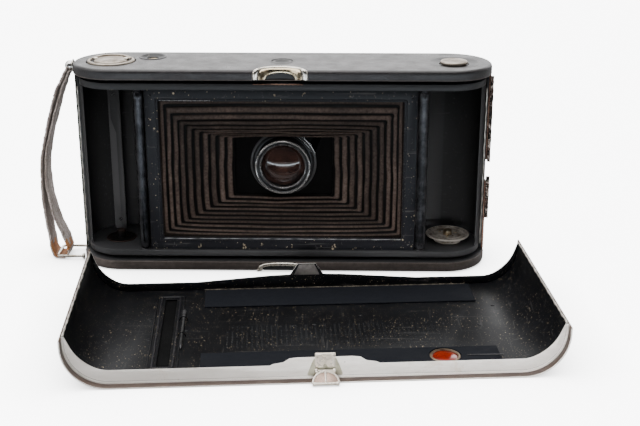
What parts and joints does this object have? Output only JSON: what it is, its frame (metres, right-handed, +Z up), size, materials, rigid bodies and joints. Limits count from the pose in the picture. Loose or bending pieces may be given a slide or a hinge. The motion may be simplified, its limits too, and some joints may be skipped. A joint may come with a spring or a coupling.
{
  "type": "folding camera",
  "caption": "Vintage folding roll-film camera on its long side, bed closed, seen from the open rear, with its curved back removed and lying inside up.",
  "frame": {"origin": "centre of the bottom face of the body as it stands on its long side", "axes": "+X along the body from the winding key's end to the feed end, +Y out of the lens, +Z up"},
  "size_m": [0.2887, 0.2012, 0.1225],
  "materials": {
    "leather": "black grained leather, worn at the edges",
    "side_metal": "black enamel",
    "black_enamel": "satin black enamel, chipped at edges",
    "nickel": "worn nickel plate",
    "steel": "bare worn steel",
    "brass": "tarnished brass",
    "strap_leather": "worn brown leather",
    "bellows_leather": "thin black bellows leather with brown folds",
    "velvet": "flat black velvet",
    "glass": "clear coated glass",
    "ruby_glass": "red safe-light window"
  },
  "bodies": {
    "body": {"plate_top": "side_metal", "plate_bottom": "side_metal", "leather_top": "leather", "leather_bottom": "leather", "housing_top": "black_enamel", "housing_bottom": "black_enamel", "front_shell": "black_enamel", "front_leather_left": "leather", "front_leather_right": "leather", "chamber_shell_left": "black_enamel", "chamber_shell_right": "black_enamel", "gate_frame": "black_enamel", "inner_wall_left": "black_enamel", "inner_wall_right": "black_enamel", "roller_pins": "steel", "film_spring": "black_enamel", "spool_seats": "brass", "tripod_socket": "brass", "catch_plates": "nickel", "strap_fittings": "nickel", "strap": "strap_leather", "bellows": "bellows_leather", "hinge_knuckles": "black_enamel"},
    "left_roller": {"roller_left": "steel"},
    "right_roller": {"roller_right": "steel"},
    "key": {"winding_key": "nickel"},
    "wing": {"key_wing": "nickel"},
    "feed_knob": {"spool_knob": "nickel"},
    "button": {"release_button": "leather"},
    "bed": {"bed_panel": "black_enamel", "bed_leather": "leather", "bed_rails": "nickel"},
    "leg": {"support_leg": "nickel"},
    "struts": {"bed_struts": "nickel"},
    "carriage": {"carriage": "nickel"},
    "standard": {"standard_frame": "nickel", "lens_board": "black_enamel", "shutter_case": "black_enamel", "shutter_face": "nickel", "iris_blades": "steel", "front_lens_ring": "black_enamel", "front_glass": "glass", "rear_tube": "black_enamel", "rear_glass": "glass", "finder_body": "black_enamel", "finder_glass": "glass"},
    "dial": {"speed_dial": "nickel"},
    "shutter_arm": {"shutter_lever": "nickel"},
    "aperture_arm": {"aperture_lever": "nickel"},
    "bellows_front": {"bellows_cuff": "bellows_leather"},
    "back": {"back_leather": "leather", "back_shell": "black_enamel", "back_flanges": "steel", "back_pads": "velvet", "window_ring": "black_enamel", "window_glass": "ruby_glass", "clasp_plate": "nickel"},
    "door": {"writing_door": "black_enamel"},
    "pen": {"stylus": "nickel"},
    "clasp": {"clasp_lever": "nickel"}
  },
  "joints": [
    {"name": "bed_hinge", "type": "hinge", "parent": "body", "child": "bed", "pos_m": [0.0766, 0.0254, 0.0603], "axis": [0, 0, -1], "range_deg": [0, 90]},
    {"name": "strut_swing", "type": "hinge", "parent": "bed", "child": "struts", "pos_m": [0.0366, 0.019, 0.0603], "axis": [0, 0, -1], "range_deg": [-125, 0]},
    {"name": "carriage_run", "type": "slide", "parent": "bed", "child": "carriage", "axis": [-1, 0, 0], "range_m": [0, 0.1242]},
    {"name": "standard_swing", "type": "hinge", "parent": "carriage", "child": "standard", "pos_m": [0.0626, 0.0114, 0.0603], "axis": [0, 0, -1], "range_deg": [-90.2, 0]},
    {"name": "bellows_run", "type": "slide", "parent": "body", "child": "bellows_front", "axis": [0, 1, 0], "range_m": [0, 0.1522], "deforming": ["bellows", "bellows_cuff"]},
    {"name": "leg_fold", "type": "hinge", "parent": "bed", "child": "leg", "pos_m": [-0.028, 0.0265, 0.0603], "axis": [0, 0, -1], "range_deg": [0, 90]},
    {"name": "key_turn", "type": "hinge", "parent": "body", "child": "key", "pos_m": [-0.0985, -0.001, 0.1206], "axis": [0, 0, 1], "continuous": true},
    {"name": "wing_fold", "type": "hinge", "parent": "key", "child": "wing", "pos_m": [-0.0985, -0.001, 0.1219], "axis": [1, 0, 0], "range_deg": [0, 90]},
    {"name": "knob_pull", "type": "slide", "parent": "body", "child": "feed_knob", "axis": [0, 0, 1], "range_m": [0, 0.008], "stiffness_N_per_m": 120, "springref_m": -0.004},
    {"name": "button_press", "type": "slide", "parent": "body", "child": "button", "axis": [0, 0, -1], "range_m": [0, 0.0012], "stiffness_N_per_m": 400, "springref_m": -0.002},
    {"name": "left_roller_turn", "type": "hinge", "parent": "body", "child": "left_roller", "pos_m": [-0.0809, -0.019, 0.0603], "axis": [0, 0, 1], "continuous": true},
    {"name": "right_roller_turn", "type": "hinge", "parent": "body", "child": "right_roller", "pos_m": [0.0809, -0.019, 0.0603], "axis": [0, 0, 1], "continuous": true},
    {"name": "dial_turn", "type": "hinge", "parent": "standard", "child": "dial", "pos_m": [-0.0205, 0.0162, 0.0585], "axis": [0, 1, 0], "range_deg": [0, 270]},
    {"name": "shutter_trip", "type": "hinge", "parent": "standard", "child": "shutter_arm", "pos_m": [0.014, 0.0164, 0.0725], "axis": [0, 1, 0], "range_deg": [0, 20], "stiffness_Nm_per_rad": 0.02},
    {"name": "aperture_set", "type": "hinge", "parent": "standard", "child": "aperture_arm", "pos_m": [0.0105, 0.0164, 0.04], "axis": [0, 1, 0], "range_deg": [0, 60]},
    {"name": "back_lift", "type": "slide", "parent": "body", "child": "back", "axis": [0, 0, 1], "range_m": [0, 0.15]},
    {"name": "door_open", "type": "hinge", "parent": "back", "child": "door", "pos_m": [-0.06068, -0.1113, 0.0001], "axis": [-0.0785, 0.9969, 0], "range_deg": [0, 100]},
    {"name": "stylus_pull", "type": "slide", "parent": "back", "child": "pen", "axis": [0.0785, -0.9969, 0], "range_m": [0, 0.03]},
    {"name": "clasp_flip", "type": "hinge", "parent": "back", "child": "clasp", "pos_m": [0.02729, -0.16105, 0.0056], "axis": [-0.9969, -0.0785, 0], "range_deg": [0, 100]}
  ],
  "couplings": [
    {"joint": "strut_swing", "follows": "bed_hinge", "ratio": -1.3855},
    {"joint": "carriage_run", "follows": "bed_hinge", "m_per_rad": 0.078941},
    {"joint": "standard_swing", "follows": "bed_hinge", "ratio": -1},
    {"joint": "bellows_run", "follows": "bed_hinge", "m_per_rad": 0.096766}
  ]
}
